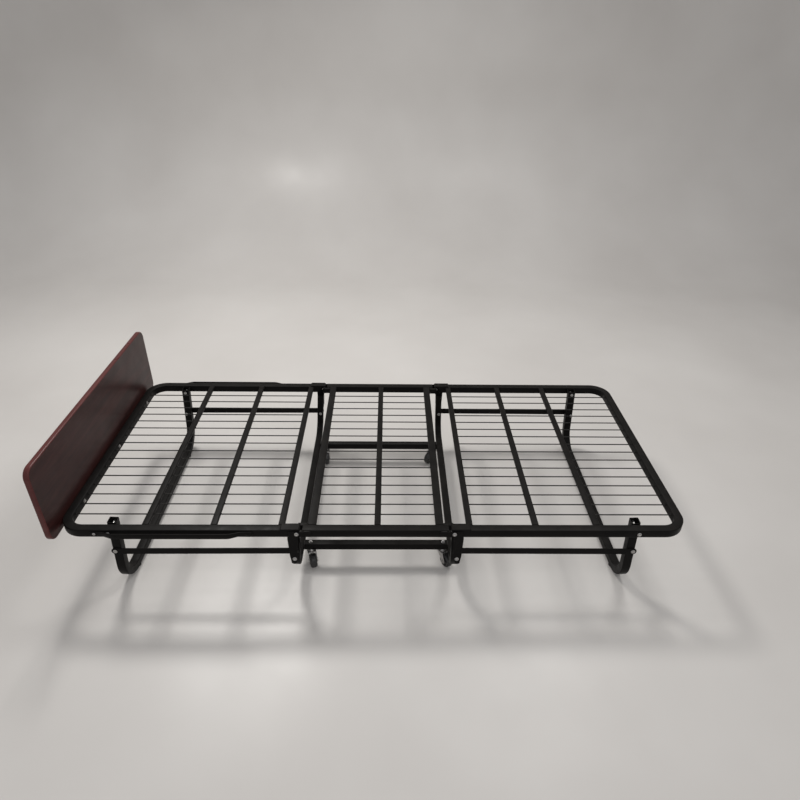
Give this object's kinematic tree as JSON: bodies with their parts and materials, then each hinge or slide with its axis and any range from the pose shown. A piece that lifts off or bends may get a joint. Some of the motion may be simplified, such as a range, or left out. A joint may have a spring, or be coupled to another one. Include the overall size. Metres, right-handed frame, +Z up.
{
  "type": "rollaway bed",
  "caption": "Folding rollaway bed: hinged wire deck in a square-tube frame, wood headboard, side guards, fold-away end legs on links, and a caster base.",
  "frame": {"origin": "on the floor, under the middle of the whole bed in the open position", "axes": "+X along the bed from the head end with the headboard to the foot end, +Y across the bed, +Z up"},
  "size_m": [1.9782, 0.944, 0.532],
  "materials": {
    "powder_coat": "satin black powder coat",
    "zinc": "bright zinc plate",
    "board": "dark reddish-brown laminate, satin",
    "rubber": "matte black",
    "wheel": "moulded black"
  },
  "bodies": {
    "base": {"middle_deck": "powder_coat", "middle_rail_near": "powder_coat", "middle_rail_far": "powder_coat", "centre_hoop_head": "powder_coat", "centre_hoop_foot": "powder_coat", "caster_bar_near": "powder_coat", "caster_bar_far": "powder_coat", "hinge_plate_head_near": "powder_coat", "hinge_plate_head_far": "powder_coat", "hinge_plate_foot_near": "powder_coat", "hinge_plate_foot_far": "powder_coat", "fold_pin_head_near": "zinc", "fold_pin_head_far": "zinc", "fold_pin_foot_near": "zinc", "fold_pin_foot_far": "zinc", "link_base_pin_head_near": "zinc", "link_base_pin_head_far": "zinc", "link_base_pin_foot_near": "zinc", "link_base_pin_foot_far": "zinc"},
    "head_section": {"head_frame": "powder_coat", "head_deck": "powder_coat", "side_guard_near": "powder_coat", "side_guard_far": "powder_coat", "headboard": "board", "headboard_bolt_1": "zinc", "headboard_bolt_2": "zinc", "headboard_bolt_3": "zinc", "leg_pin_head_near": "zinc", "leg_pin_head_far": "zinc"},
    "foot_section": {"foot_frame": "powder_coat", "foot_deck": "powder_coat", "leg_pin_foot_near": "zinc", "leg_pin_foot_far": "zinc"},
    "head_leg_unit": {"head_leg": "powder_coat", "foot_pad_head_near": "rubber", "foot_pad_head_far": "rubber", "link_leg_pin_head_near": "zinc", "link_leg_pin_head_far": "zinc"},
    "foot_leg_unit": {"foot_leg": "powder_coat", "foot_pad_foot_near": "rubber", "foot_pad_foot_far": "rubber", "link_leg_pin_foot_near": "zinc", "link_leg_pin_foot_far": "zinc"},
    "link_head_near": {"folding_link_head_near": "powder_coat"},
    "link_head_far": {"folding_link_head_far": "powder_coat"},
    "link_foot_near": {"folding_link_foot_near": "powder_coat"},
    "link_foot_far": {"folding_link_foot_far": "powder_coat"},
    "swivel_head_near": {"caster_fork_head_near": "zinc", "caster_axle_head_near": "zinc"},
    "swivel_head_far": {"caster_fork_head_far": "zinc", "caster_axle_head_far": "zinc"},
    "swivel_foot_near": {"caster_fork_foot_near": "zinc", "caster_axle_foot_near": "zinc"},
    "swivel_foot_far": {"caster_fork_foot_far": "zinc", "caster_axle_foot_far": "zinc"},
    "wheel_head_near": {"caster_wheel_head_near": "wheel"},
    "wheel_head_far": {"caster_wheel_head_far": "wheel"},
    "wheel_foot_near": {"caster_wheel_foot_near": "wheel"},
    "wheel_foot_far": {"caster_wheel_foot_far": "wheel"}
  },
  "joints": [
    {"name": "head_fold", "type": "hinge", "parent": "base", "child": "head_section", "pos_m": [-0.23485, 0, 0.2795], "axis": [0, 1, 0], "range_deg": [0, 87]},
    {"name": "foot_fold", "type": "hinge", "parent": "base", "child": "foot_section", "pos_m": [0.25315, 0, 0.2795], "axis": [0, -1, 0], "range_deg": [0, 87]},
    {"name": "head_leg_fold", "type": "hinge", "parent": "head_section", "child": "head_leg_unit", "pos_m": [-0.81145, 0, 0.277], "axis": [0, 1, 0], "range_deg": [-87, 0]},
    {"name": "foot_leg_fold", "type": "hinge", "parent": "foot_section", "child": "foot_leg_unit", "pos_m": [0.82975, 0, 0.277], "axis": [0, -1, 0], "range_deg": [-87, 0]},
    {"name": "link_fold_head_near", "type": "hinge", "parent": "base", "child": "link_head_near", "pos_m": [-0.24735, -0.4179, 0.1745], "axis": [0, 1, 0], "range_deg": [0, 87]},
    {"name": "link_fold_head_far", "type": "hinge", "parent": "base", "child": "link_head_far", "pos_m": [-0.24735, 0.4179, 0.1745], "axis": [0, 1, 0], "range_deg": [0, 87]},
    {"name": "link_fold_foot_near", "type": "hinge", "parent": "base", "child": "link_foot_near", "pos_m": [0.26565, -0.4179, 0.1745], "axis": [0, -1, 0], "range_deg": [0, 87]},
    {"name": "link_fold_foot_far", "type": "hinge", "parent": "base", "child": "link_foot_far", "pos_m": [0.26565, 0.4179, 0.1745], "axis": [0, -1, 0], "range_deg": [0, 87]},
    {"name": "caster_swivel_head_near", "type": "hinge", "parent": "base", "child": "swivel_head_near", "pos_m": [-0.21985, -0.294, 0.0655], "axis": [0, 0, 1], "continuous": true},
    {"name": "caster_swivel_head_far", "type": "hinge", "parent": "base", "child": "swivel_head_far", "pos_m": [-0.21985, 0.294, 0.0655], "axis": [0, 0, 1], "continuous": true},
    {"name": "caster_swivel_foot_near", "type": "hinge", "parent": "base", "child": "swivel_foot_near", "pos_m": [0.23815, -0.294, 0.0655], "axis": [0, 0, 1], "continuous": true},
    {"name": "caster_swivel_foot_far", "type": "hinge", "parent": "base", "child": "swivel_foot_far", "pos_m": [0.23815, 0.294, 0.0655], "axis": [0, 0, 1], "continuous": true},
    {"name": "wheel_spin_head_near", "type": "hinge", "parent": "swivel_head_near", "child": "wheel_head_near", "pos_m": [-0.21274, -0.31587, 0.025], "axis": [-0.9511, -0.309, 0], "continuous": true},
    {"name": "wheel_spin_head_far", "type": "hinge", "parent": "swivel_head_far", "child": "wheel_head_far", "pos_m": [-0.21825, 0.27106, 0.025], "axis": [-0.9976, -0.0698, 0], "continuous": true},
    {"name": "wheel_spin_foot_near", "type": "hinge", "parent": "swivel_foot_near", "child": "wheel_foot_near", "pos_m": [0.25068, -0.31329, 0.025], "axis": [-0.8387, -0.5446, 0], "continuous": true},
    {"name": "wheel_spin_foot_far", "type": "hinge", "parent": "swivel_foot_far", "child": "wheel_foot_far", "pos_m": [0.22276, 0.27691, 0.025], "axis": [-0.7431, 0.6691, 0], "continuous": true}
  ],
  "couplings": [
    {"joint": "head_leg_fold", "follows": "head_fold", "ratio": -1},
    {"joint": "foot_leg_fold", "follows": "foot_fold", "ratio": -1},
    {"joint": "link_fold_head_near", "follows": "head_fold", "ratio": 1},
    {"joint": "link_fold_head_far", "follows": "head_fold", "ratio": 1},
    {"joint": "link_fold_foot_near", "follows": "foot_fold", "ratio": 1},
    {"joint": "link_fold_foot_far", "follows": "foot_fold", "ratio": 1}
  ]
}
